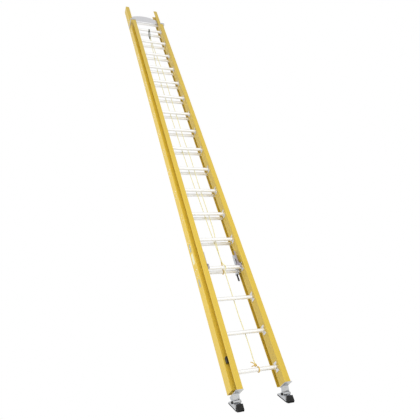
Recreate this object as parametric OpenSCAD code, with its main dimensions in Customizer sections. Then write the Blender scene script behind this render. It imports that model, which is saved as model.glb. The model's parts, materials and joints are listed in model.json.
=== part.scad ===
// Two-section fibreglass extension ladder, closed, standing upright on its swivel shoes.
// +Z runs up the rails, X runs along the rungs, and the climber stands at -Y.
// The base section is at -Y, the sliding fly section at +Y. Lengths are in millimetres.

/* [Sections] */
// Distance from one rung to the next
rung_pitch = 304.8; // [280:0.1:370]
// Height of the base rails' lower ends, from one rung pitch below the first rung
base_bottom = 168; // [150:1:210]
// Length of each base rail
base_length = 5197; // [5160:1:5400]
// Length of each fly rail
fly_length = 5645; // [5500:1:6800]
// Height of the fly rails' lower ends, from the same level
fly_bottom = 190; // [186:1:260]

/* [Rails] */
// Depth of each rail channel, front to back
rail_depth = 95; // [84:1:112]
// Width of the channel's flanges
rail_flange = 48; // [40:1:58]
// Wall of the channel
rail_wall = 4.8; // [4:0.1:5.8]
// Clear width between the base rails
base_inner = 341; // [284:1:410]
// Sideways gap between nested channels
nest_gap = 8.5; // [7:0.1:12]
// Distance that the fly sits behind the base
fly_setback = 69; // [62:1:75]

/* [Rungs] */
// Radius of the round underside of a rung
rung_r = 16; // [13:0.1:17]
// Height of the tread above the rung's centre
rung_flat = 12; // [10:0.1:14]
// Wall of the rung tube
rung_wall = 2.4; // [2:0.1:3]
// Thickness of the end plates
plate_t = 3; // [2:0.1:4]
// Height of the end plates
plate_h = 74; // [64:1:92]
// Radius of a rivet's shank
rivet_r = 2.5; // [2:0.1:3]

/* [Shoes] */
// Swing of the shoes from flat, toe down, as they hang
shoe_tilt = 43.5; // [30:0.5:52]
// Length of the rubber tread
tread_length = 129; // [107:1:134]
// Thickness of the rubber tread
tread_t = 10; // [8:0.5:12]
// Width of the shoe's sole
sole_width = 59; // [54:1:62]
// Radius of the shoe's pivot bolt
bolt_r = 6; // [5:0.1:7.2]

/* [Locks and rope] */
// Distance from the base rail's web to the middle of a rung lock
lock_inset = 20; // [20:0.5:60]
// Radius of the rope
rope_r = 4; // [3.4:0.1:4.8]
// Radius of the rope's middle line round the pulley
sheave_pitch_r = 12; // [10.5:0.5:13]

/* [Hidden] */
$fn = 48;
eps = 0.01;
run_gap = 0.05;                 // radial clearance of every pin in its bore
base_rungs = 17;
fly_first = 4;                  // the fly's first rung is level with this base rung
fly_rungs = 15;
corner_r = 2;                   // outer corner of a channel
fillet_r = 4;                   // inner corner of a channel

base_web_x = base_inner / 2;
base_edge_x = base_web_x + rail_flange;
fly_outer_x = base_edge_x + nest_gap + rail_wall;
fly_web_x = fly_outer_x - rail_wall;
base_rung_y = rail_depth / 2;
fly_rung_y = fly_setback + rail_depth / 2;
base_top = base_bottom + base_length;

rib_w = 1.6;                    // ribs pressed into the tread
rib_h = 0.8;
rib_step = 4;
plate_d = 46;                   // depth of an end plate
plate_waist = 26;
boss_r = rung_r + 3.5;          // socket that holds the rung's end
boss_l = 9;
rivet_y = 16;
rivet_z = plate_h / 2 - 8;
head_r = 2 * rivet_r;
head_t = 2.2;

lock_x = base_web_x - lock_inset;
lock_w = 14;                    // width of the hook
cheek_t = 3;
cheek_gap = 1;
lock_pin_r = 4;
lock_pivot = [base_rung_y + 34.5, 100];    // y and z from the fly's first rung level
trunnion_r = 3;
hook_gap = 0.4;                 // hook to base rung at rest
finger_pivot = [fly_rung_y + rung_r + 8, -22];
finger_l = 66;
lip_y = base_rung_y - rung_r - 0.8;

sheave_w = 12;
sheave_drop = 130;              // below the top base rung
rope_y = (base_rung_y + fly_rung_y) / 2;
sheave_z = rung_pitch * base_rungs - sheave_drop;
groove_r = sheave_pitch_r - rope_r - 0.9;
axle_r = 4;
strap_t = 3;

sole_drop = 26;                 // bolt to the sole plate's upper face
sole_t = 4;
sole_front = -58;               // front and back of the sole, from the bolt
tread_back = sole_front + tread_length;
tread_face = sole_drop + sole_t + tread_t;
ear_t = 4;
ear_gap = sole_width - 2 * ear_t;
bracket_w = ear_gap - 1;        // outside width of the bracket's legs
leg_r = 18;
shoe_x = base_web_x + 33;
shoe_y = rail_depth + 10;
bolt_z = base_bottom - 49;
// the rubber block round the sole's toe
toe_outline = [[sole_front + 8, 0.05 - sole_drop], [sole_front + 8, 6], [sole_front + 2, 10], [-85, -22],
    [-80, 4 - tread_face], [-64, -tread_face], [sole_front + 1, -tread_face],
    [sole_front + 1, -sole_drop - sole_t], [sole_front - 0.05, -sole_drop - sole_t],
    [sole_front - 0.05, 0.05 - sole_drop]];

// the origin is on the ground, in the middle of everything
ground = bolt_z + min([for (p = toe_outline) p[0] * sin(shoe_tilt) + p[1] * cos(shoe_tilt)]);
heel_reach = tread_back * cos(shoe_tilt) + tread_face * sin(shoe_tilt);
y_mid = (shoe_y + heel_reach - strap_t) / 2;

lock_z = rung_pitch * fly_first;
splice_l = 90;
splice_r = 6.5;
splice_lean = 12;
eye_r = rung_r + rope_r + 0.3;
splice_foot = [12, fly_rung_y - eye_r * sin(45), lock_z + eye_r * cos(45)];
splice_top = splice_foot + splice_l * [0, -sin(splice_lean), cos(splice_lean)];

// the run from the splice up to the back of the sheave
fly_rope_route = [splice_top + [0, 0, 1.5], [5, 84, 1468], [-6, 85, 1700], [-14, 86, 2000],
    [-26, 87, 2300], [-35, 88, 2750], [-41, 89, 3400], [-40, 90, 4000], [-26, 92, 4450],
    [-10, 93, 4740], [0, rope_y + sheave_pitch_r, sheave_z]];
// the hauling line: over the sheave, down behind the rungs, round the front of rung 4, to rung 1
rope_turn = [for (a = [0 : 22.5 : 180])
    [0, rope_y + sheave_pitch_r * cos(a), sheave_z + sheave_pitch_r * sin(a)]];
rope_route = concat(rope_turn, [
    [2, 70.5, 4800], [14, 71.5, 4455], [25, 72, 4142], [20, 72, 3529], [20, 72, 3216], [19, 72, 2908],
    [27, 72, 2606], [22, 72, 2296], [23, 72, 1984], [26, 72, 1684], [12, 71, 1524], [8, 69, 1462],
    [2.5, 64, 1398], [-3, 56, 1350], [-10, 46, 1298], [-6, 34, 1247], [5, 24, 1219], [1, 22, 1197],
    [-11, 23, 1178], [-14, 30, 1163], [-4, 50, 1114], [4.6, 66, 1054], [12, 80, 916], [12, 80, 777],
    [17, 80, 643], [18, 76, 513], [8, 60, 402], [5, 52, 376], [4, 47, 345]]);
knot_at = [4, 46, 340];
knot_r = 10;

base_rung_names = ["base_rung_01", "base_rung_02", "base_rung_03", "base_rung_04", "base_rung_05",
    "base_rung_06", "base_rung_07", "base_rung_08", "base_rung_09", "base_rung_10", "base_rung_11",
    "base_rung_12", "base_rung_13", "base_rung_14", "base_rung_15", "base_rung_16", "base_rung_17"];
fly_rung_names = ["fly_rung_04", "fly_rung_05", "fly_rung_06", "fly_rung_07", "fly_rung_08",
    "fly_rung_09", "fly_rung_10", "fly_rung_11", "fly_rung_12", "fly_rung_13", "fly_rung_14",
    "fly_rung_15", "fly_rung_16", "fly_rung_17", "fly_rung_18"];

fibreglass = "#e7c849";
metal = "#c9ccd0";
rung_metal = "#efeff0";
black = "#1d1d1e";
rope_yellow = "#d9c468";

// ---- shared shapes ----

// puts a shape in the object's frame
module place() translate([0, -y_mid, -ground]) children();

// side is -1 for the left and 1 for the right; the shape is drawn for the right
module on_side(side) if (side > 0) children(); else mirror([1, 0, 0]) children();

// the same shape on both sides
module both_sides() { children(); mirror([1, 0, 0]) children(); }

// a drawing in the Y-Z plane, extruded along X from x
module along_x(x, length) translate([x, 0, 0]) rotate([90, 0, 90]) linear_extrude(length) children();

module rounded_rect(w, h, r) {
    translate([r, 0]) square([w - 2 * r, h]);
    translate([0, r]) square([w, h - 2 * r]);
    for (x = [r, w - r], y = [r, h - r]) translate([x, y]) circle(r);
}

// a channel with its web at x = 0 and its flanges towards +X
module channel(length) linear_extrude(length) difference() {
    rounded_rect(rail_flange, rail_depth, corner_r);
    translate([rail_wall, rail_wall])
        rounded_rect(rail_flange + 2 * fillet_r, rail_depth - 2 * rail_wall, fillet_r);
}

// the rung's section without its tread ribs
module rung_section(grow) intersection() {
    circle(rung_r + grow);
    translate([-2 * rung_r, -2 * rung_r]) square([4 * rung_r, 2 * rung_r + rung_flat + grow]);
}

// ---- rails ----

module base_rail() color(fibreglass) translate([base_web_x, 0, base_bottom]) channel(base_length);

module fly_rail() color(fibreglass)
    translate([fly_outer_x, fly_setback, fly_bottom]) mirror([1, 0, 0]) channel(fly_length);

// ---- rungs ----

// a D-shaped tube with ribs pressed into its tread
module rung(web_x, y, level) color(rung_metal) translate([0, y, rung_pitch * level])
    along_x(plate_t - web_x, 2 * (web_x - plate_t)) difference() {
        union() {
            rung_section(0);
            for (i = [-2 : 2]) translate([rib_step * i - rib_w / 2, rung_flat - 1]) square([rib_w, 1 + rib_h]);
        }
        rung_section(-rung_wall);
    }

// one end plate with the socket that the rung is swaged into
module rung_plate(web_x, y, level) translate([0, y, rung_pitch * level]) {
    h = plate_h / 2;
    d = plate_d / 2;
    w = plate_waist / 2;
    along_x(web_x - plate_t, plate_t) difference() {
        union() {
            polygon([[-d, -h], [d, -h], [d, -h + 14], [w, -boss_r], [w, boss_r], [d, h - 14], [d, h],
                [-d, h], [-d, h - 14], [-w, boss_r], [-w, -boss_r], [-d, -h + 14]]);
            circle(boss_r);
        }
        for (a = [-rivet_y, rivet_y], b = [-rivet_z, rivet_z]) translate([a, b]) circle(rivet_r);
    }
    along_x(web_x - plate_t - boss_l, boss_l + eps) difference() {
        circle(boss_r);
        rung_section(0.02);
        translate([-2.5 * rib_step, 0]) square([5 * rib_step, rung_flat + rib_h + 0.02]);
    }
}

// four rivets through one end plate and the rail's web
module plate_rivets(web_x, y, level)
    for (a = [-rivet_y, rivet_y], b = [-rivet_z, rivet_z])
        translate([web_x, y + a, rung_pitch * level + b]) rotate([0, 90, 0]) {
            translate([0, 0, -plate_t - head_t]) cylinder(h = head_t, r1 = rivet_r, r2 = head_r);
            translate([0, 0, -plate_t]) cylinder(h = plate_t + rail_wall, r = rivet_r);
            translate([0, 0, rail_wall]) cylinder(h = head_t, r1 = head_r, r2 = rivet_r);
        }

module base_rung_plates() color(metal) both_sides()
    for (n = [1 : base_rungs]) rung_plate(base_web_x, base_rung_y, n);

module fly_rung_plates() color(metal) both_sides()
    for (n = [fly_first : fly_first + fly_rungs - 1]) rung_plate(fly_web_x, fly_rung_y, n);

module base_rivets() color(metal) both_sides()
    for (n = [1 : base_rungs]) plate_rivets(base_web_x, base_rung_y, n);

module fly_rivets() color(metal) both_sides()
    for (n = [fly_first : fly_first + fly_rungs - 1]) plate_rivets(fly_web_x, fly_rung_y, n);

// ---- braces and guides ----

// an arched plate, slightly bowed towards the climber, between the tops of the fly rails
module fly_top_brace() color(metal) {
    half = fly_web_x;
    bow = 14;
    brace_h = 155;
    brace_t = 3;
    end_h = 85;
    low = rung_pitch * (fly_first + fly_rungs - 1) - 20;
    end_y = fly_rung_y - plate_d / 2 - 5;
    arc_r = (half * half + bow * bow) / (2 * bow);
    arch_r = (half * half + pow(brace_h - end_h, 2)) / (2 * (brace_h - end_h));
    translate([0, end_y - bow, low]) intersection() {
        translate([0, arc_r, -1]) difference() {
            cylinder(h = brace_h + 2, r = arc_r, $fn = 96);
            translate([0, 0, -1]) cylinder(h = brace_h + 4, r = arc_r - brace_t, $fn = 96);
        }
        translate([-half, -1, 0]) cube([2 * half, bow + brace_t + 2, brace_h + 1]);
        translate([0, -1, brace_h - arch_r]) rotate([-90, 0, 0])
            cylinder(h = bow + brace_t + 2, r = arch_r, $fn = 96);
    }
}

// straps on the base rails' tops that keep the fly rails in line
module base_top_guides() color(metal) both_sides() {
    strap_h = 30;
    strap_x = fly_outer_x + head_t + 2;
    translate([0, 0, base_top - strap_h - 4]) {
        translate([base_web_x + 8, -strap_t, 0])
            cube([strap_x + strap_t - base_web_x - 8, strap_t, strap_h]);
        translate([strap_x, -eps, 0]) cube([strap_t, fly_setback + rail_depth - 24, strap_h]);
    }
}

// plastic blocks in the base channels that the fly's flanges run past
module rail_guides() color(black) both_sides()
    translate([base_web_x + rail_wall, fly_setback - 31, 386])
        cube([rail_flange - rail_wall - 1, 27, 46]);

// ---- shoes ----

// a cap under the rail's end with a tongue up inside the channel, and legs that carry the bolt
module shoe_brackets() color(metal) both_sides() {
    leg_t = 4;
    cap_t = 4;
    cap_z = base_bottom - cap_t;
    half = bracket_w / 2;
    translate([base_web_x - 2, -2, cap_z])
        cube([shoe_x + half - base_web_x + 2, rail_depth + 4, cap_t]);
    translate([base_web_x + rail_wall + 0.1, 27, base_bottom - eps]) cube([leg_t, 36, 70]);
    along_x(shoe_x - half + eps, bracket_w - 2 * eps)
        polygon([[70, cap_z + eps], [74, cap_z + eps], [86, bolt_z + 13], [82, bolt_z + 13]]);
    for (x = [shoe_x - half, shoe_x + half - leg_t])
        difference() {
            along_x(x, leg_t) {
                translate([shoe_y, bolt_z]) circle(leg_r);
                polygon([[70, cap_z + eps], [97, cap_z + eps], [shoe_y + leg_r, bolt_z],
                    [shoe_y - leg_r, bolt_z]]);
            }
            translate([x - 1, shoe_y, bolt_z]) rotate([0, 90, 0]) cylinder(h = leg_t + 2, r = bolt_r);
        }
}

// a headed bolt with its nut
module shoe_bolts() color(black) both_sides() translate([shoe_x, shoe_y, bolt_z]) rotate([0, 90, 0]) {
    grip = bracket_w + 2 * ear_t + 2;
    translate([0, 0, -grip / 2]) cylinder(h = grip + 9, r = bolt_r);
    translate([0, 0, -grip / 2 - 7]) cylinder(h = 7, r = 1.7 * bolt_r, $fn = 6);
    translate([0, 0, grip / 2 + 0.5]) difference() {
        cylinder(h = 7, r = 1.7 * bolt_r, $fn = 6);
        translate([0, 0, -1]) cylinder(h = 9, r = bolt_r);
    }
}

// puts a shape drawn round the bolt, sole down, where the shoe hangs
module hang_shoe() translate([shoe_x, shoe_y, bolt_z]) rotate([shoe_tilt, 0, 0]) children();

// sole plate and two ears for the bolt
module shoe() color(metal) hang_shoe() {
    translate([-sole_width / 2, sole_front, -sole_drop - sole_t])
        cube([sole_width, tread_length - 2, sole_t]);
    for (x = [-ear_gap / 2 - ear_t, ear_gap / 2]) difference() {
        along_x(x, ear_t) {
            circle(leg_r);
            polygon([[-leg_r, 0], [leg_r, 4], [tread_back - 4, -sole_drop - eps],
                [sole_front + 2, -sole_drop - eps]]);
        }
        translate([x - 1, 0, 0]) rotate([0, 90, 0]) cylinder(h = ear_t + 2, r = bolt_r + run_gap);
    }
}

// grooved rubber pad under the sole, with a block round the toe
module tread() color(black) hang_shoe() {
    groove = tread_length / 8;
    difference() {
        translate([1 - sole_width / 2, sole_front, -tread_face])
            cube([sole_width - 2, tread_length, tread_t]);
        for (i = [1 : 7]) translate([-sole_width / 2, tread_back - i * groove - 2, -tread_face - 1])
            cube([sole_width, 4, 4]);
    }
    along_x(0.5 - ear_gap / 2, ear_gap - 1) polygon(toe_outline);
}

// ---- rung locks ----

// puts a lock's shape at its place on the right; x = 0 is the lock's middle
module at_lock() translate([lock_x, 0, lock_z]) children();

// cheeks clamped on the fly's lowest rung, with the hook's pin and the finger's bores
module lock_bodies() color(metal) both_sides() at_lock() {
    front = fly_rung_y - rung_r - 6;
    back = fly_rung_y + rung_r + 4;
    for (x = [-lock_w / 2 - cheek_gap - cheek_t, lock_w / 2 + cheek_gap]) difference() {
        along_x(x, cheek_t) difference() {
            polygon([[finger_pivot[0] + 7, finger_pivot[1] - 7], [finger_pivot[0] + 7, finger_pivot[1] + 8],
                [back, 2], [back, 14], [fly_rung_y, 36], [fly_rung_y - 14, 62], [fly_rung_y - 20, 146],
                [lock_pivot[0], 152], [lock_pivot[0] - 13, 142], [lock_pivot[0] - 13, 60], [front, 30],
                [front, finger_pivot[1] - 2], [finger_pivot[0] - 9, finger_pivot[1] - 7]]);
            translate([fly_rung_y, 0]) rung_section(0.9);
            translate(finger_pivot) circle(trunnion_r + run_gap);
        }
        translate([x - 1, lock_pivot[0], lock_pivot[1]]) rotate([0, 90, 0])
            cylinder(h = cheek_t + 2, r = lock_pin_r);
    }
    translate([-lock_w / 2 - cheek_gap - cheek_t - 2, lock_pivot[0], lock_pivot[1]])
        rotate([0, 90, 0]) cylinder(h = lock_w + 2 * (cheek_gap + cheek_t + 2), r = lock_pin_r);
}

// the hook that drops over the base rung, with a long release lever above it
module lock_hook() color("#b9b4bb") at_lock() {
    seat = rung_flat + rib_h + hook_gap;
    rung_back = base_rung_y + rung_r;
    difference() {
        along_x(-lock_w / 2, lock_w) {
            translate(lock_pivot) circle(11);
            polygon([[lock_pivot[0] - 10, lock_pivot[1] - 2], [lock_pivot[0] + 9, lock_pivot[1] - 4],
                [lock_pivot[0] - 1, 34], [rung_back + 6, seat], [lip_y, seat], [lip_y, -15],
                [lip_y - 9, -12], [lip_y - 11, seat + 4], [lip_y - 2, seat + 22],
                [base_rung_y + 6, seat + 30], [rung_back + 2, seat + 42]]);
        }
        translate([-lock_w / 2 - 1, lock_pivot[0], lock_pivot[1]]) rotate([0, 90, 0])
            cylinder(h = lock_w + 2, r = lock_pin_r + run_gap);
    }
    along_x(-lock_w / 2 + 2, lock_w - 4)
        polygon([[base_rung_y - 2, seat + 20], [base_rung_y + 12, seat + 32], [base_rung_y + 4, 172],
            [base_rung_y - 3, 172]]);
}

// the hinged finger that hangs behind the fly's lowest rung, turning on its own trunnions
module lock_finger() color(black) at_lock() translate([0, finger_pivot[0], finger_pivot[1]]) {
    along_x(-lock_w / 2 + 0.5, lock_w - 1) {
        circle(6);
        polygon([[-4, 0], [4, 0], [3.5, 6 - finger_l], [1.5, -finger_l], [-3, -finger_l], [-5, 6 - finger_l]]);
    }
    reach = lock_w / 2 + cheek_gap + cheek_t + 1;
    translate([-reach, 0, 0]) rotate([0, 90, 0]) cylinder(h = 2 * reach, r = trunnion_r);
}

// ---- pulley ----

// a clamp round the top base rung, with two cheeks that hold the sheave's axle
module pulley_block() color(black) {
    side_t = 2;
    gap = sheave_w / 2 + 1;
    half_w = gap + side_t;
    top = rung_pitch * base_rungs;
    difference() {
        union() {
            translate([-half_w, base_rung_y, top]) rotate([0, 90, 0])
                cylinder(h = 2 * half_w, r = rung_r + 3);
            for (x = [-half_w, gap]) along_x(x, side_t) {
                translate([rope_y, sheave_z]) circle(13);
                polygon([[base_rung_y - 6, top - 14], [base_rung_y + 18, top - 6], [rope_y + 10, sheave_z + 30],
                    [rope_y + 13, sheave_z], [rope_y - 13, sheave_z], [rope_y - 14, sheave_z + 40]]);
            }
        }
        translate([0, base_rung_y, top]) along_x(-half_w - 1, 2 * half_w + 2) rung_section(0.9);
    }
    translate([-half_w - 1, rope_y, sheave_z]) rotate([0, 90, 0]) cylinder(h = 2 * half_w + 2, r = axle_r);
}

module pulley_sheave() color("#3a3a3c") translate([0, rope_y, sheave_z]) rotate([0, 90, 0]) {
    rim_r = sheave_pitch_r + rope_r;
    half = sheave_w / 2;
    slot = rope_r + 0.4;
    rotate_extrude() polygon([[axle_r + run_gap, -half], [rim_r, -half], [rim_r, -slot],
        [groove_r, -slot], [groove_r, slot], [rim_r, slot], [rim_r, half], [axle_r + run_gap, half]]);
}

// ---- rope ----

function unit(v) = v / norm(v);
function tangent(p, i) = unit(p[min(i + 1, len(p) - 1)] - p[max(i - 1, 0)]);
// one ring of the tube round a point of the route
function rope_ring(p, i, r, sides) =
    let (t = tangent(p, i), a = unit(cross(t, [1, 0, 0])), b = cross(a, t))
    [for (k = [0 : sides - 1]) p[i] + r * (cos(360 * k / sides) * a + sin(360 * k / sides) * b)];

module rope_tube(route, r, sides) {
    count = len(route);
    points = [for (i = [0 : count - 1]) each rope_ring(route, i, r, sides)];
    walls = [for (i = [0 : count - 2], k = [0 : sides - 1])
        [i * sides + k, i * sides + (k + 1) % sides, (i + 1) * sides + (k + 1) % sides, (i + 1) * sides + k]];
    first = [for (k = [sides - 1 : -1 : 0]) k];
    last = [for (k = [0 : sides - 1]) (count - 1) * sides + k];
    polyhedron(points, concat(walls, [first, last]), convexity = 8);
}

// from the pulley down to the splice on the fly's lowest rung
module rope_fly_run() color(rope_yellow) rope_tube(fly_rope_route, rope_r, 10);

module rope_haul_run() color(rope_yellow) rope_tube(rope_route, rope_r, 8);

// a ring of rope round a rung
module rope_ring_round(at, r) translate(at) rotate([0, 90, 0]) rotate_extrude() translate([r, 0]) circle(rope_r);

// spliced eye on the fly's lowest rung
module rope_eye() color(rope_yellow) {
    rope_ring_round([splice_foot[0], fly_rung_y, lock_z], eye_r);
    translate(splice_foot) rotate([splice_lean, 0, 0]) cylinder(h = splice_l, r = splice_r);
}

// knot, loop and bow on the lowest base rung
module rope_tie() color(rope_yellow) {
    rope_ring_round([knot_at[0] + 8, base_rung_y, rung_pitch], eye_r);
    translate(knot_at) sphere(knot_r);
    for (tail = [[20, -62, 46], [-24, -98, 34]])
        translate(knot_at) rotate([tail[0], tail[1], 0]) translate([0, 0, knot_r + 0.1])
            cylinder(h = tail[2] - knot_r, r = rope_r);
}

// ---- nodes ----

place() on_side(-1) base_rail();  // base_rail_left
place() on_side(1) base_rail();  // base_rail_right
place() on_side(-1) fly_rail();  // fly_rail_left
place() on_side(1) fly_rail();  // fly_rail_right
for (i = [0 : base_rungs - 1])
    place() rung(base_web_x, base_rung_y, i + 1);
for (i = [0 : fly_rungs - 1])
    place() rung(fly_web_x, fly_rung_y, i + fly_first);
place() base_rung_plates();
place() fly_rung_plates();
place() base_rivets();
place() fly_rivets();
place() fly_top_brace();
place() base_top_guides();
place() rail_guides();
place() shoe_brackets();
place() shoe_bolts();
place() on_side(-1) shoe();  // shoe_left
place() on_side(1) shoe();  // shoe_right
place() on_side(-1) tread();  // tread_left
place() on_side(1) tread();  // tread_right
place() lock_bodies();
place() on_side(-1) lock_hook();  // lock_hook_left
place() on_side(1) lock_hook();  // lock_hook_right
place() on_side(-1) lock_finger();  // lock_finger_left
place() on_side(1) lock_finger();  // lock_finger_right
place() pulley_block();
place() pulley_sheave();
place() rope_fly_run();
place() rope_haul_run();
place() rope_eye();
place() rope_tie();
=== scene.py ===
import json
import math

import bpy
from mathutils import Matrix, Vector


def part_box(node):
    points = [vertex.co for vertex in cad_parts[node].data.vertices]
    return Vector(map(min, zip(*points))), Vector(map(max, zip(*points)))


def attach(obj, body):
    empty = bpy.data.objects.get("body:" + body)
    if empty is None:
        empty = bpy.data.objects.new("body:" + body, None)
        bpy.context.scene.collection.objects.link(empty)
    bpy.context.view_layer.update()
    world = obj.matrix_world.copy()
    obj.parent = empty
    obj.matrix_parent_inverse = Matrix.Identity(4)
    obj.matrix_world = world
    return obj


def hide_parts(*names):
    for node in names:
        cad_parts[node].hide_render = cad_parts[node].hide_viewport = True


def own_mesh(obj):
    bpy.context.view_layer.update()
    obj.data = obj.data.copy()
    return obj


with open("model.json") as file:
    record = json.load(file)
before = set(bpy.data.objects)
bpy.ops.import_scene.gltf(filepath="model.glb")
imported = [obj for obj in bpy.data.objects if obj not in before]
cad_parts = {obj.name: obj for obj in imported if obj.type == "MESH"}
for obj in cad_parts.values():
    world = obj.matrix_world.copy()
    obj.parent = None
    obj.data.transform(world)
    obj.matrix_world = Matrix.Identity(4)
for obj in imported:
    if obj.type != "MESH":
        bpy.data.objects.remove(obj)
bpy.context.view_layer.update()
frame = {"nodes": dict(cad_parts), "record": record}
nodes = frame["nodes"]

MM = 0.001
# the base rails' front face is y = 0 and one rung pitch below the first rung is z = 0 in the drawings below
FRONT_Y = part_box("base_rail_left")[0].y
DATUM_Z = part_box("base_rail_left")[0].z - 168 * MM
ROPE_R = 4 * MM
ROPE_LAY = 27 * MM  # one full turn of the three strands


def at(x, y, z):
    """A point of the drawings, in millimetres."""
    return Vector((x * MM, FRONT_Y + y * MM, DATUM_Z + z * MM))


# ---- camera ----

def aim_camera():
    """A long ladder seen from beside and below its feet, with its top far off."""
    ahead = Vector((0.37563, 0.69941, 0.60805)).normalized()
    up = Vector((-0.00185, -0.65553, 0.75517))
    right = ahead.cross(up).normalized()
    up = right.cross(ahead)
    camera = bpy.data.objects.new("camera", bpy.data.cameras.new("camera"))
    camera.data.lens = 39.31
    camera.data.sensor_width = 36
    camera.data.clip_end = 60
    camera.matrix_world = Matrix((
        (right.x, up.x, -ahead.x, -1.6043), (right.y, up.y, -ahead.y, -3.1104),
        (right.z, up.z, -ahead.z, -0.8260), (0, 0, 0, 1)))
    bpy.context.scene.collection.objects.link(camera)
    bpy.context.scene.camera = camera


# ---- mesh making ----

def new_piece(name, points, faces, smooth=True):
    mesh = bpy.data.meshes.new(name)
    mesh.from_pydata([tuple(p) for p in points], [], faces)
    mesh.validate()
    mesh.polygons.foreach_set("use_smooth", [smooth] * len(mesh.polygons))
    piece = bpy.data.objects.new(name, mesh)
    bpy.context.scene.collection.objects.link(piece)
    return piece


def smooth_route(points, closed=False, per_span=12):
    """A Catmull-Rom curve through the points."""
    count = len(points)
    spans = count if closed else count - 1
    curve = []
    for i in range(spans):
        if closed:
            a, b, c, d = (points[(i + k) % count] for k in (-1, 0, 1, 2))
        else:
            b, c = points[i], points[i + 1]
            a = points[i - 1] if i else b * 2 - c
            d = points[i + 2] if i + 2 < count else c * 2 - b
        for k in range(per_span):
            t = k / per_span
            curve.append(0.5 * (2 * b + (c - a) * t + (2 * a - 5 * b + 4 * c - d) * t ** 2
                                + (3 * b - a - 3 * c + d) * t ** 3))
    if not closed:
        curve.append(points[-1])
    return curve


def even_steps(curve, step):
    """The same line with its points a fixed step apart."""
    lengths = [0.0]
    for p, q in zip(curve, curve[1:]):
        lengths.append(lengths[-1] + (q - p).length)
    count = max(2, round(lengths[-1] / step))
    even, i = [], 0
    for k in range(count + 1):
        want = lengths[-1] * k / count
        while i < len(lengths) - 2 and lengths[i + 1] < want:
            i += 1
        share = (want - lengths[i]) / max(lengths[i + 1] - lengths[i], 1e-9)
        even.append(curve[i].lerp(curve[i + 1], min(max(share, 0), 1)))
    return even


def twisted_rope(name, curve, radius=ROPE_R, taper=None, closed=False, lay=ROPE_LAY):
    """Three strands laid together: the section is three lobes that turn along the line."""
    line = even_steps(curve + [curve[0]] if closed else curve, lay / 9)
    if closed:
        line = line[:-1]
    lobe = [math.cos(math.radians(a)) for a in (-60, -36, -12, 12, 36)]
    section = lobe * 3
    turns = max(1, round(len(line) / 9)) if closed else len(line) / 9
    points, faces = [], []
    across = None
    for i, p in enumerate(line):
        ahead = (line[(i + 1) % len(line)] if closed or i + 1 < len(line) else p)
        behind = line[i - 1] if closed or i else p
        along = (ahead - behind).normalized()
        if across is None:
            across = along.orthogonal().normalized()
        across = (across - along * across.dot(along)).normalized()
        side = along.cross(across)
        width = radius if taper is None else radius * taper(i / (len(line) - 1))
        for k, reach in enumerate(section):
            angle = math.tau * (k / len(section) + turns * i / len(line))
            points.append(p + width * reach * (math.cos(angle) * across + math.sin(angle) * side))
    n = len(section)
    rings = len(line) if closed else len(line) - 1
    for i in range(rings):
        j = (i + 1) % len(line)
        faces += [(i * n + k, i * n + (k + 1) % n, j * n + (k + 1) % n, j * n + k) for k in range(n)]
    if not closed:
        faces += [tuple(range(n - 1, -1, -1)), tuple(range(len(points) - n, len(points)))]
    return new_piece(name, points, faces)


def rounded_plate(name, centre, across, up, width, height, thickness, corner):
    """A thin plate with round corners; its face looks along across x up."""
    out = across.cross(up).normalized()
    outline = []
    for quarter, (sx, sy) in enumerate(((1, 1), (-1, 1), (-1, -1), (1, -1))):
        for k in range(5):
            angle = math.radians(90 * quarter + 22.5 * k)
            outline.append((sx * (width / 2 - corner) + corner * math.cos(angle),
                            sy * (height / 2 - corner) + corner * math.sin(angle)))
    n = len(outline)
    points = [centre + across * a + up * b + out * t for t in (0, thickness) for a, b in outline]
    faces = [tuple(range(n - 1, -1, -1)), tuple(range(n, 2 * n))]
    faces += [(k, (k + 1) % n, n + (k + 1) % n, n + k) for k in range(n)]
    return new_piece(name, points, faces, smooth=False)


# ---- materials ----

def colour(code):
    """Linear colour of an sRGB hex code."""
    parts = [int(code[i:i + 2], 16) / 255 for i in (1, 3, 5)]
    return tuple(p / 12.92 if p <= 0.04045 else ((p + 0.055) / 1.055) ** 2.4 for p in parts) + (1,)


def per_mm(size):
    """Texture scale that gives a pattern of this size in millimetres."""
    return 1000 / size


def add(tree, kind, inputs=None, **settings):
    """Adds one shader node with its settings, its values and its links."""
    node = tree.nodes.new(kind)
    for name, value in settings.items():
        setattr(node, name, value)
    for socket, value in (inputs or {}).items():
        if isinstance(value, bpy.types.NodeSocket):
            tree.links.new(value, node.inputs[socket])
        else:
            node.inputs[socket].default_value = value
    return node


def start_material(name, **values):
    """A Principled material with these values on its own sockets."""
    material = bpy.data.materials.new(name)
    material.use_nodes = True
    tree = material.node_tree
    shader = tree.nodes["Principled BSDF"]
    for socket, value in values.items():
        shader.inputs[socket.replace("_", " ")].default_value = value
    where = add(tree, "ShaderNodeTexCoord").outputs["Object"]
    return material, tree, shader, where


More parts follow.
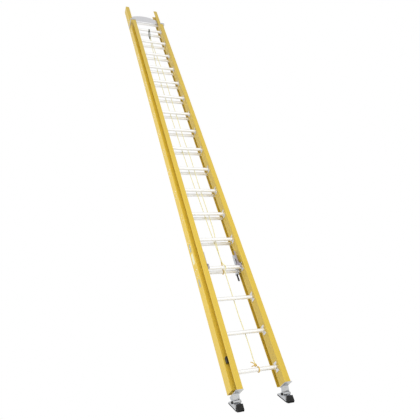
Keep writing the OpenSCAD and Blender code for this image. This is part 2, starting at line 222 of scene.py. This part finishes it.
def pultruded_fibreglass():
    """Glass rovings pulled through yellow polyester: fine streaks along the rail under a satin skin."""
    material, tree, shader, where = start_material(
        "pultruded_fibreglass", IOR=1.52, Coat_Weight=0.12, Coat_Roughness=0.3)
    # rovings 3 mm wide that drift over 180 mm of length
    lengthwise = add(tree, "ShaderNodeMapping", {"Vector": where, "Scale": (1, 1, 0.016)})
    rovings = add(tree, "ShaderNodeTexNoise", {
        "Vector": lengthwise.outputs[0], "Scale": per_mm(3), "Detail": 4, "Roughness": 0.6})
    # a pigment that clouds over 90 mm
    cloud = add(tree, "ShaderNodeTexNoise", {"Vector": where, "Scale": per_mm(90), "Detail": 3})
    streaks = add(tree, "ShaderNodeValToRGB", {"Fac": rovings.outputs["Fac"]})
    streaks.color_ramp.elements[0].position = 0.25
    streaks.color_ramp.elements[0].color = colour("#bd9f2c")
    streaks.color_ramp.elements[1].position = 0.75
    streaks.color_ramp.elements[1].color = colour("#d3b640")
    clouded = add(tree, "ShaderNodeMix", {
        "Factor": cloud.outputs["Fac"], 6: streaks.outputs[0], 7: colour("#c9ab35")}, data_type="RGBA")
    tree.links.new(clouded.outputs[2], shader.inputs["Base Color"])
    sheen = add(tree, "ShaderNodeMapRange", {
        "Value": rovings.outputs["Fac"], "To Min": 0.36, "To Max": 0.48})
    tree.links.new(sheen.outputs[0], shader.inputs["Roughness"])
    # the surface veil, 0.9 mm
    veil = add(tree, "ShaderNodeTexNoise", {"Vector": where, "Scale": per_mm(0.9), "Detail": 2})
    skin = add(tree, "ShaderNodeBump", {
        "Height": veil.outputs["Fac"], "Strength": 0.12, "Distance": 0.0002})
    grain = add(tree, "ShaderNodeBump", {
        "Height": rovings.outputs["Fac"], "Strength": 0.1, "Distance": 0.0003, "Normal": skin.outputs[0]})
    tree.links.new(grain.outputs[0], shader.inputs["Normal"])
    return material


def extruded_aluminium():
    """Mill-finish tube: bright, with fine die lines along its length and scuffs from boots."""
    material, tree, shader, where = start_material("extruded_aluminium", Metallic=0.8)
    # die lines 0.5 mm apart along X
    along = add(tree, "ShaderNodeMapping", {"Vector": where, "Scale": (0.01, 1, 1)})
    lines = add(tree, "ShaderNodeTexNoise", {"Vector": along.outputs[0], "Scale": per_mm(0.5), "Detail": 3})
    scuffs = add(tree, "ShaderNodeTexNoise", {
        "Vector": where, "Scale": per_mm(24), "Detail": 5, "Roughness": 0.7})
    tone = add(tree, "ShaderNodeValToRGB", {"Fac": scuffs.outputs["Fac"]})
    tone.color_ramp.elements[0].color = colour("#f0f0f0")
    tone.color_ramp.elements[1].color = colour("#fafaf9")
    tree.links.new(tone.outputs[0], shader.inputs["Base Color"])
    gloss = add(tree, "ShaderNodeMapRange", {"Value": lines.outputs["Fac"], "To Min": 0.4, "To Max": 0.5})
    tree.links.new(gloss.outputs[0], shader.inputs["Roughness"])
    relief = add(tree, "ShaderNodeBump", {
        "Height": lines.outputs["Fac"], "Strength": 0.06, "Distance": 0.0001})
    tree.links.new(relief.outputs[0], shader.inputs["Normal"])
    return material


def pressed_aluminium(name, dark, light, low, high):
    """Stamped sheet: soft grey, lightly rubbed, with 6 mm handling marks."""
    material, tree, shader, where = start_material(name, Metallic=1.0)
    marks = add(tree, "ShaderNodeTexNoise", {
        "Vector": where, "Scale": per_mm(6), "Detail": 6, "Roughness": 0.65})
    tone = add(tree, "ShaderNodeValToRGB", {"Fac": marks.outputs["Fac"]})
    tone.color_ramp.elements[0].position = 0.3
    tone.color_ramp.elements[0].color = colour(dark)
    tone.color_ramp.elements[1].position = 0.7
    tone.color_ramp.elements[1].color = colour(light)
    tree.links.new(tone.outputs[0], shader.inputs["Base Color"])
    gloss = add(tree, "ShaderNodeMapRange", {"Value": marks.outputs["Fac"], "To Min": low, "To Max": high})
    tree.links.new(gloss.outputs[0], shader.inputs["Roughness"])
    fine = add(tree, "ShaderNodeTexNoise", {"Vector": where, "Scale": per_mm(0.6)})
    relief = add(tree, "ShaderNodeBump", {
        "Height": fine.outputs["Fac"], "Strength": 0.1, "Distance": 0.0001})
    tree.links.new(relief.outputs[0], shader.inputs["Normal"])
    return material


def zinc_plated_steel():
    """Bright zinc over pressed steel: a cool grey with a faint 3 mm spangle."""
    material, tree, shader, where = start_material("zinc_plated_steel", Metallic=1.0)
    spangle = add(tree, "ShaderNodeTexVoronoi", {"Vector": where, "Scale": per_mm(3), "Randomness": 1.0})
    tone = add(tree, "ShaderNodeValToRGB", {"Fac": spangle.outputs["Distance"]})
    tone.color_ramp.elements[0].color = colour("#d4d6da")
    tone.color_ramp.elements[1].color = colour("#bfc1c4")
    tree.links.new(tone.outputs[0], shader.inputs["Base Color"])
    cloud = add(tree, "ShaderNodeTexNoise", {"Vector": where, "Scale": per_mm(14), "Detail": 4})
    gloss = add(tree, "ShaderNodeMapRange", {"Value": cloud.outputs["Fac"], "To Min": 0.26, "To Max": 0.44})
    tree.links.new(gloss.outputs[0], shader.inputs["Roughness"])
    relief = add(tree, "ShaderNodeBump", {
        "Height": cloud.outputs["Fac"], "Strength": 0.12, "Distance": 0.0002})
    tree.links.new(relief.outputs[0], shader.inputs["Normal"])
    return material


def sand_cast_aluminium():
    """A rough casting: matt lilac-grey with the 1.2 mm grain of the sand."""
    material, tree, shader, where = start_material("sand_cast_aluminium", Metallic=0.9)
    sand = add(tree, "ShaderNodeTexNoise", {
        "Vector": where, "Scale": per_mm(1.2), "Detail": 4, "Roughness": 0.6})
    tone = add(tree, "ShaderNodeValToRGB", {"Fac": sand.outputs["Fac"]})
    tone.color_ramp.elements[0].color = colour("#96919a")
    tone.color_ramp.elements[1].color = colour("#bdb8c0")
    tree.links.new(tone.outputs[0], shader.inputs["Base Color"])
    gloss = add(tree, "ShaderNodeMapRange", {"Value": sand.outputs["Fac"], "To Min": 0.45, "To Max": 0.65})
    tree.links.new(gloss.outputs[0], shader.inputs["Roughness"])
    relief = add(tree, "ShaderNodeBump", {
        "Height": sand.outputs["Fac"], "Strength": 0.5, "Distance": 0.0004})
    tree.links.new(relief.outputs[0], shader.inputs["Normal"])
    return material


def black_oxide_steel():
    """Blackened steel with an oily sheen and 8 mm patches where it has rubbed paler."""
    material, tree, shader, where = start_material("black_oxide_steel", Metallic=0.8)
    rub = add(tree, "ShaderNodeTexNoise", {
        "Vector": where, "Scale": per_mm(8), "Detail": 6, "Roughness": 0.7})
    tone = add(tree, "ShaderNodeValToRGB", {"Fac": rub.outputs["Fac"]})
    tone.color_ramp.elements[0].position = 0.45
    tone.color_ramp.elements[0].color = colour("#1f1f21")
    tone.color_ramp.elements[1].position = 0.8
    tone.color_ramp.elements[1].color = colour("#4c4c50")
    tree.links.new(tone.outputs[0], shader.inputs["Base Color"])
    gloss = add(tree, "ShaderNodeMapRange", {"Value": rub.outputs["Fac"], "To Min": 0.34, "To Max": 0.5})
    tree.links.new(gloss.outputs[0], shader.inputs["Roughness"])
    return material


def olive_painted_steel():
    """The pulley's cheeks: thin grey-olive paint, chipped paler in 5 mm patches."""
    material, tree, shader, where = start_material("olive_painted_steel", Metallic=0.3)
    chips = add(tree, "ShaderNodeTexNoise", {
        "Vector": where, "Scale": per_mm(5), "Detail": 5, "Roughness": 0.7})
    tone = add(tree, "ShaderNodeValToRGB", {"Fac": chips.outputs["Fac"]})
    tone.color_ramp.elements[0].position = 0.5
    tone.color_ramp.elements[0].color = colour("#67685a")
    tone.color_ramp.elements[1].position = 0.75
    tone.color_ramp.elements[1].color = colour("#8f8f80")
    tree.links.new(tone.outputs[0], shader.inputs["Base Color"])
    gloss = add(tree, "ShaderNodeMapRange", {"Value": chips.outputs["Fac"], "To Min": 0.4, "To Max": 0.6})
    tree.links.new(gloss.outputs[0], shader.inputs["Roughness"])
    return material


def moulded_rubber():
    """Tread rubber: matt black with a 1.5 mm pebble and pale dust."""
    material, tree, shader, where = start_material("moulded_rubber", IOR=1.5, Specular_IOR_Level=0.35)
    pebble = add(tree, "ShaderNodeTexVoronoi", {"Vector": where, "Scale": per_mm(1.5)})
    dust = add(tree, "ShaderNodeTexNoise", {
        "Vector": where, "Scale": per_mm(18), "Detail": 6, "Roughness": 0.7})
    tone = add(tree, "ShaderNodeValToRGB", {"Fac": dust.outputs["Fac"]})
    tone.color_ramp.elements[0].position = 0.4
    tone.color_ramp.elements[0].color = colour("#131314")
    tone.color_ramp.elements[1].position = 0.85
    tone.color_ramp.elements[1].color = colour("#333231")
    tree.links.new(tone.outputs[0], shader.inputs["Base Color"])
    gloss = add(tree, "ShaderNodeMapRange", {"Value": dust.outputs["Fac"], "To Min": 0.7, "To Max": 0.9})
    tree.links.new(gloss.outputs[0], shader.inputs["Roughness"])
    relief = add(tree, "ShaderNodeBump", {
        "Height": pebble.outputs["Distance"], "Strength": 0.35, "Distance": 0.0003})
    tree.links.new(relief.outputs[0], shader.inputs["Normal"])
    return material


def moulded_nylon():
    """Black nylon from a spark-eroded mould, with a 0.8 mm stipple."""
    material, tree, shader, where = start_material("moulded_nylon", IOR=1.53)
    stipple = add(tree, "ShaderNodeTexNoise", {"Vector": where, "Scale": per_mm(0.8), "Detail": 3})
    tone = add(tree, "ShaderNodeValToRGB", {"Fac": stipple.outputs["Fac"]})
    tone.color_ramp.elements[0].color = colour("#101011")
    tone.color_ramp.elements[1].color = colour("#262628")
    tree.links.new(tone.outputs[0], shader.inputs["Base Color"])
    gloss = add(tree, "ShaderNodeMapRange", {
        "Value": stipple.outputs["Fac"], "To Min": 0.42, "To Max": 0.58})
    tree.links.new(gloss.outputs[0], shader.inputs["Roughness"])
    relief = add(tree, "ShaderNodeBump", {
        "Height": stipple.outputs["Fac"], "Strength": 0.2, "Distance": 0.0002})
    tree.links.new(relief.outputs[0], shader.inputs["Normal"])
    return material


def laid_polypropylene(name, dark, light):
    """Yellow film fibres laid into strands: a dry sheen and 0.7 mm filaments across the lay."""
    material, tree, shader, where = start_material(name, IOR=1.49, Sheen_Weight=0.25, Sheen_Roughness=0.4)
    slant = add(tree, "ShaderNodeMapping", {"Vector": where, "Rotation": (0, 0.6, 0), "Scale": (1, 1, 0.2)})
    fibres = add(tree, "ShaderNodeTexNoise", {
        "Vector": slant.outputs[0], "Scale": per_mm(0.7), "Detail": 2})
    tone = add(tree, "ShaderNodeValToRGB", {"Fac": fibres.outputs["Fac"]})
    tone.color_ramp.elements[0].position = 0.3
    tone.color_ramp.elements[0].color = colour(dark)
    tone.color_ramp.elements[1].position = 0.7
    tone.color_ramp.elements[1].color = colour(light)
    tree.links.new(tone.outputs[0], shader.inputs["Base Color"])
    gloss = add(tree, "ShaderNodeMapRange", {
        "Value": fibres.outputs["Fac"], "To Min": 0.45, "To Max": 0.65})
    tree.links.new(gloss.outputs[0], shader.inputs["Roughness"])
    relief = add(tree, "ShaderNodeBump", {
        "Height": fibres.outputs["Fac"], "Strength": 0.4, "Distance": 0.0003})
    tree.links.new(relief.outputs[0], shader.inputs["Normal"])
    return material


def blank_vinyl(name, code, soiled):
    """A blank stick-on label: smooth vinyl with a 10 mm grubbiness."""
    material, tree, shader, where = start_material(name, IOR=1.5)
    grime = add(tree, "ShaderNodeTexNoise", {
        "Vector": where, "Scale": per_mm(10), "Detail": 6, "Roughness": 0.7})
    tone = add(tree, "ShaderNodeValToRGB", {"Fac": grime.outputs["Fac"]})
    tone.color_ramp.elements[0].position = 0.35
    tone.color_ramp.elements[0].color = colour(code)
    tone.color_ramp.elements[1].position = 0.8
    tone.color_ramp.elements[1].color = colour(soiled)
    tree.links.new(tone.outputs[0], shader.inputs["Base Color"])
    gloss = add(tree, "ShaderNodeMapRange", {"Value": grime.outputs["Fac"], "To Min": 0.3, "To Max": 0.5})
    tree.links.new(gloss.outputs[0], shader.inputs["Roughness"])
    return material


def finish_piece(piece, material):
    piece.data.materials.clear()
    piece.data.materials.append(material)
    return piece


# ---- rope ----

def lay_ropes(yellow, worn):
    sheave_low, sheave_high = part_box("pulley_sheave")
    sheave = (sheave_low + sheave_high) / 2
    turn_r = 12 * MM
    # the hauling line: over the sheave, down behind the rungs, round the front of rung 4, to rung 1
    over = [sheave + turn_r * Vector((0, math.cos(math.radians(a)), math.sin(math.radians(a))))
            for a in (0, 22.5, 45, 67.5, 90, 112.5, 135, 157.5, 180)]
    down = [at(*p) for p in (
        (2, 70.5, 4800), (14, 71.5, 4455), (25, 72, 4142), (20, 72, 3529), (20, 72, 3216), (19, 72, 2908),
        (27, 72, 2606), (22, 72, 2296), (23, 72, 1984), (26, 72, 1684), (12, 71, 1524), (8, 69, 1462),
        (2.5, 64, 1398), (-3, 56, 1350), (-10, 46, 1298), (-6, 34, 1247), (5, 24, 1219), (1, 22, 1197),
        (-11, 23, 1178), (-14, 30, 1163), (-4, 50, 1114), (4.6, 66, 1054), (12, 80, 916), (12, 80, 777),
        (17, 80, 643), (18, 76, 513), (8, 60, 402), (5, 52, 376), (4, 47, 345))]
    haul = twisted_rope("rope_hauling_line", over + smooth_route([over[-1]] + down)[1:])
    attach(finish_piece(haul, yellow), "base")
    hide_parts("rope_haul_run")

    # the run up to the pulley, laid at one fixed length; on the ladder it shortens as the fly climbs
    # towards it
    up_run = [at(*p) for p in (
        (12, 83.4, 1323.1), (5, 84, 1468), (-6, 85, 1700), (-14, 86, 2000), (-26, 87, 2300),
        (-35, 88, 2750), (-41, 89, 3400), (-40, 90, 4000), (-26, 92, 4450), (-10, 93, 4740))]
    fly_run = twisted_rope("rope_fly_line", smooth_route(up_run + [over[0]]))
    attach(finish_piece(fly_run, yellow), "base")
    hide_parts("rope_fly_run")
    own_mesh(fly_run)

    # the spliced eye round the fly's lowest rung
    rung = sum(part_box("fly_rung_04"), Vector()) / 2
    eye_r = 20.3 * MM
    ring = [Vector((12 * MM, rung.y + eye_r * math.cos(a), at(0, 0, 1219.2).z + eye_r * math.sin(a)))
            for a in (math.tau * k / 40 for k in range(40))]
    eye = twisted_rope("rope_eye_loop", ring, closed=True)
    lean = math.radians(12)
    start = at(12, 116.5 - 20.3 * math.sin(math.radians(45)), 1219.2 + 20.3 * math.cos(math.radians(45)))
    end = start + 90 * MM * Vector((0, -math.sin(lean), math.cos(lean)))
    splice = twisted_rope("rope_splice", [start.lerp(end, k / 8) for k in range(9)], radius=6.8 * MM,
                          taper=lambda t: 1 - 0.35 * t * t, lay=34 * MM)
    for piece in (eye, splice):
        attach(finish_piece(piece, worn), "fly")
        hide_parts("rope_eye")

    # the tie on the lowest base rung: a loop, two hitches and a bow's tails
    hitch_at = at(4, 46, 340)
    loop = [at(16, 47.5 + 20.3 * math.cos(a), 304.8 + 20.3 * math.sin(a))
            for a in (math.tau * k / 40 for k in range(40))]
    tie = [twisted_rope("rope_tie_loop", loop, closed=True)]
    hitch = [hitch_at + MM * Vector((6.5 * math.cos(a), 6.5 * math.sin(a), 9 - 18 * k / 50))
             for k, a in ((k, math.tau * 2.4 * k / 50) for k in range(51))]
    tie.append(twisted_rope("rope_tie_hitch", hitch, radius=3.6 * MM))
    tails = (((-4, -2, 4), (-16, -6, 13), (-30, -12, 19), (-40, -15, 20)),
             ((-5, 3, -2), (-17, 9, -1), (-29, 13, -4)))
    for number, tail in enumerate(tails, 1):
        route = smooth_route([hitch_at + MM * Vector(p) for p in tail])
        tie.append(twisted_rope(f"rope_tie_tail_{number}", route))
    for piece in tie:
        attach(finish_piece(piece, worn), "base")
        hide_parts("rope_tie")


# ---- labels ----

def stick_labels(grey, white):
    """Blank labels on the outer faces of the fly rails."""
    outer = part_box("fly_rail_right")[1].x
    middle_y = at(0, 116.5, 0).y
    up = Vector((0, 0, 1))
    for side, name in ((-1, "left"), (1, "right")):
        across = Vector((0, side, 0))
        for number, (height, width, tall, vinyl) in enumerate((
                (1445, 26, 86, grey), (1330, 44, 110, white), (1080, 28, 76, grey)), 1):
            centre = Vector((side * outer, middle_y, height * MM))
            label = rounded_plate(f"label_{name}_{number}", centre, across, up, width * MM, tall * MM,
                                  0.3 * MM, 5 * MM)
            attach(finish_piece(label, vinyl), "fly")


# ---- shoe details ----

def extruded(name, x, outline, thickness):
    """A plate with this outline in the Y-Z plane, from x along X, in millimetres."""
    n = len(outline)
    points = [at(a, y, z) for a in (x, x + thickness) for y, z in outline]
    faces = [tuple(range(n - 1, -1, -1)), tuple(range(n, 2 * n))]
    faces += [(k, (k + 1) % n, n + (k + 1) % n, n + k) for k in range(n)]
    return new_piece(name, points, faces, smooth=False)


def tube(name, x0, x1, centre, inner, outer):
    """A spacer tube along X, in millimetres."""
    n = 40
    ring = [(math.cos(math.tau * k / n), math.sin(math.tau * k / n)) for k in range(n)]
    profile = ((x0, inner), (x0, outer - 1), (x0 + 1, outer), (x1 - 1, outer), (x1, outer - 1), (x1, inner))
    points = [at(x, centre[0] + r * c, centre[1] + r * s) for x, r in profile for c, s in ring]
    faces = []
    for i in range(len(profile)):
        j = (i + 1) % len(profile)
        faces += [(i * n + k, i * n + (k + 1) % n, j * n + (k + 1) % n, j * n + k) for k in range(n)]
    return new_piece(name, points, faces)


def fit_shoe_details(steel):
    """On each bracket: a spacer on the bolt, a rounded nose and a gusset behind the outer leg."""
    bolt = (105, 119)
    sweep = [math.radians(130 + 6 * k) for k in range(24)]
    nose = [(bolt[0] + 17.5 * math.cos(a), bolt[1] + 17.5 * math.sin(a)) for a in sweep]
    nose += [(bolt[0] + 15.2 * math.cos(a), bolt[1] + 15.2 * math.sin(a)) for a in reversed(sweep)]
    behind_leg = ((98, 168), (98, 163.5), (124, 121), (138, 160), (138, 168))
    for side, name in ((-1, "left"), (1, "right")):
        inner_x, outer_x = sorted((side * 183, side * 224))
        spacer = tube(f"bolt_spacer_{name}", inner_x, outer_x, bolt, 6.3, 12)
        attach(finish_piece(spacer, steel), "base")
        front = extruded(f"bracket_nose_{name}", inner_x, nose, outer_x - inner_x)
        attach(finish_piece(front, steel), "base")
        x = 224.5 if side > 0 else -228.5
        gusset = extruded(f"bracket_gusset_{name}", x, behind_leg, 4)
        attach(finish_piece(gusset, steel), "base")


# ---- studio ----

def build_studio():
    size = 30
    floor = new_piece("floor", [(-size, -size, 0), (size, -size, 0), (size, size, 0), (-size, size, 0)],
                      [(0, 1, 2, 3)], smooth=False)
    # the floor shows from above only, so that it doesn't hide the ladder from a camera at foot level
    material = bpy.data.materials.new("studio_floor")
    material.use_nodes = True
    tree = material.node_tree
    shader = tree.nodes["Principled BSDF"]
    shader.inputs["Base Color"].default_value = colour("#f4f4f2")
    shader.inputs["Roughness"].default_value = 0.8
    side = add(tree, "ShaderNodeNewGeometry").outputs["Backfacing"]
    clear = add(tree, "ShaderNodeBsdfTransparent").outputs[0]
    both = add(tree, "ShaderNodeMixShader", {0: side, 1: shader.outputs[0], 2: clear})
    tree.links.new(both.outputs[0], tree.nodes["Material Output"].inputs["Surface"])
    floor.data.materials.append(material)

    world = bpy.data.worlds.new("studio")
    bpy.context.scene.world = world
    world.use_nodes = True
    sky = world.node_tree
    seen = add(sky, "ShaderNodeLightPath").outputs["Is Camera Ray"]
    light = sky.nodes["Background"]
    light.inputs["Color"].default_value = (1, 1, 1, 1)
    light.inputs["Strength"].default_value = 0.82
    shown = add(sky, "ShaderNodeBackground", {"Color": (1, 1, 1, 1), "Strength": 1.0})
    pick = add(sky, "ShaderNodeMixShader", {0: seen, 1: light.outputs[0], 2: shown.outputs[0]})
    sky.links.new(pick.outputs[0], sky.nodes["World Output"].inputs["Surface"])

    def softbox(name, place, target, size_m, watts):
        lamp = bpy.data.objects.new(name, bpy.data.lights.new(name, "AREA"))
        lamp.data.shape = "SQUARE"
        lamp.data.size = size_m
        lamp.data.energy = watts
        lamp.location = place
        lamp.rotation_euler = (Vector(target) - Vector(place)).to_track_quat("-Z", "Y").to_euler()
        bpy.context.scene.collection.objects.link(lamp)

    softbox("key", (-1.2, -5, 2.2), (0, 0, 1.4), 3, 130)
    softbox("fill", (-6, 1, 3), (0, 0, 2.4), 4, 190)
    bpy.context.scene.view_settings.view_transform = "Standard"


# ---- the ladder ----

aim_camera()

rope_yellow = laid_polypropylene("laid_polypropylene", "#dccf86", "#f3ecb4")
rope_worn = laid_polypropylene("laid_polypropylene_worn", "#cda52f", "#efcd55")
lay_ropes(rope_yellow, rope_worn)

fibreglass = pultruded_fibreglass()
steel = zinc_plated_steel()
plates = pressed_aluminium("pressed_aluminium", "#d6d6da", "#ebebed", 0.35, 0.5)
finishes = {
    "fibreglass": fibreglass,
    "rung_aluminium": extruded_aluminium(),
    "plate_aluminium": plates,
    "rivet_aluminium": pressed_aluminium("rivet_aluminium", "#cfcfd2", "#ececee", 0.24, 0.36),
    "plated_steel": steel,
    "cast_aluminium": sand_cast_aluminium(),
    "black_steel": black_oxide_steel(),
    "tread_rubber": moulded_rubber(),
    "black_plastic": moulded_nylon(),
    "rope": rope_yellow,
}
for part in frame["record"]["subparts"]:
    solid = nodes[part["node"]]
    solid.data.materials.clear()
    solid.data.materials.append(finishes[part["material_slot"]])

fit_shoe_details(steel)
nodes["pulley_block"].data.materials[0] = olive_painted_steel()

stick_labels(blank_vinyl("grey_vinyl", "#8f958c", "#a9a78f"),
             blank_vinyl("white_vinyl", "#cdd0b8", "#cfc695"))
build_studio()
